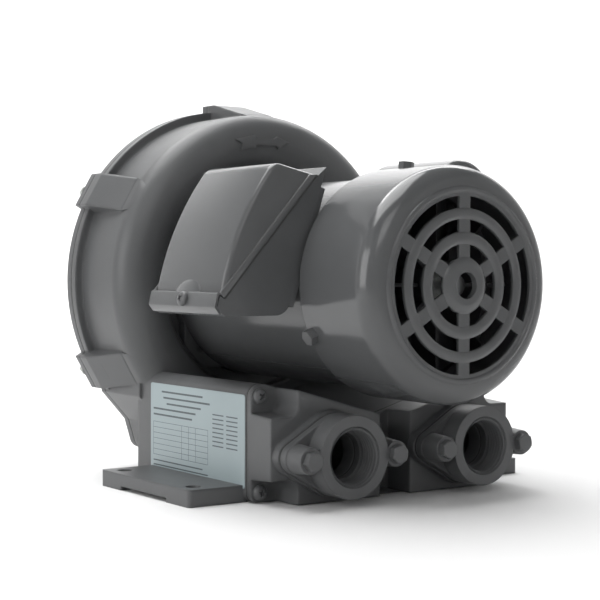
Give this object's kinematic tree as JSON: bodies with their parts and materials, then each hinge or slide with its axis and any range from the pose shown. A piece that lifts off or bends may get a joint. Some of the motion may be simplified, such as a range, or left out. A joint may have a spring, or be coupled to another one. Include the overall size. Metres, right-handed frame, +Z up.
{
  "type": "side channel blower",
  "caption": "Side channel blower with a flanged motor, slotted fan cowl, silencer block with threaded ports, terminal box and foot plates.",
  "frame": {"origin": "centre of the four foot holes, on the face that the feet stand on", "axes": "+Z up; the motor axis runs along Y with the fan end at -Y and the blower end at +Y; the terminal box is on the -X side"},
  "size_m": [0.248, 0.2768, 0.2432],
  "materials": {
    "painted_casting": "semi-gloss grey enamel over a cast skin",
    "painted_port": "semi-gloss grey enamel over a cast skin",
    "painted_sheet": "glossy grey enamel on sheet steel",
    "painted_fastener": "painted over with the housing",
    "zinc_steel": "zinc plated",
    "brass_screw": "plain",
    "bearing_steel": "ground",
    "shaft_steel": "turned",
    "lamination": "stacked sheet with a varnish",
    "winding_enamel": "varnished copper wire",
    "cast_aluminium": "cast and machined",
    "fan_plastic": "moulded",
    "gasket_sheet": "fibre sheet",
    "seal_rubber": "moulded",
    "acoustic_foam": "open-cell foam",
    "terminal_plastic": "moulded",
    "can_plastic": "moulded can"
  },
  "bodies": {
    "housing": {"blower_casing": "painted_casting", "rear_cover": "painted_casting", "casing_seal": "gasket_sheet", "cover_bolts": "zinc_steel", "cover_bolt_washers": "zinc_steel", "silencer_cover": "painted_casting", "silencer_gasket": "gasket_sheet", "silencer_screws": "painted_fastener", "inlet_foam": "acoustic_foam", "outlet_foam": "acoustic_foam", "inlet_port_flange": "painted_port", "outlet_port_flange": "painted_port", "inlet_port_gasket": "gasket_sheet", "outlet_port_gasket": "gasket_sheet", "port_bolts": "painted_fastener", "motor_frame": "painted_sheet", "stator_core": "lamination", "stator_windings": "winding_enamel", "front_end_bell": "painted_casting", "rear_end_bell": "painted_casting", "motor_tie_bolts": "zinc_steel", "bell_screws": "zinc_steel", "front_bearing_outer": "bearing_steel", "rear_bearing_outer": "bearing_steel", "bearing_spring": "zinc_steel", "fan_cowl": "painted_sheet", "cowl_screws": "painted_fastener", "shaft_seal": "seal_rubber", "terminal_box": "painted_sheet", "terminal_box_cover": "painted_sheet", "terminal_box_gasket": "gasket_sheet", "terminal_cover_screw": "painted_fastener", "terminal_box_pad": "painted_sheet", "box_mounting_screws": "zinc_steel", "terminal_block": "terminal_plastic", "terminal_screws": "brass_screw", "lead_grommet": "seal_rubber", "capacitor": "can_plastic", "capacitor_cover": "painted_sheet", "capacitor_clamp": "zinc_steel", "capacitor_cover_screws": "zinc_steel"},
    "rotor": {"shaft": "shaft_steel", "rotor_core": "lamination", "impeller": "cast_aluminium", "impeller_spacer": "zinc_steel", "impeller_key": "zinc_steel", "impeller_washer": "zinc_steel", "impeller_nut": "zinc_steel", "cooling_fan": "fan_plastic", "fan_clip": "zinc_steel", "front_bearing_inner": "bearing_steel", "rear_bearing_inner": "bearing_steel"},
    "front_cage": {"front_bearing_balls": "bearing_steel"},
    "rear_cage": {"rear_bearing_balls": "bearing_steel"}
  },
  "joints": [
    {"name": "rotor_spin", "type": "hinge", "parent": "housing", "child": "rotor", "pos_m": [0, 0, 0.124], "axis": [0, 1, 0], "continuous": true},
    {"name": "front_cage_spin", "type": "hinge", "parent": "housing", "child": "front_cage", "pos_m": [0, 0, 0.124], "axis": [0, 1, 0], "continuous": true},
    {"name": "rear_cage_spin", "type": "hinge", "parent": "housing", "child": "rear_cage", "pos_m": [0, 0, 0.124], "axis": [0, 1, 0], "continuous": true}
  ],
  "couplings": [
    {"joint": "front_cage_spin", "follows": "rotor_spin", "ratio": 0.38},
    {"joint": "rear_cage_spin", "follows": "rotor_spin", "ratio": 0.38}
  ]
}
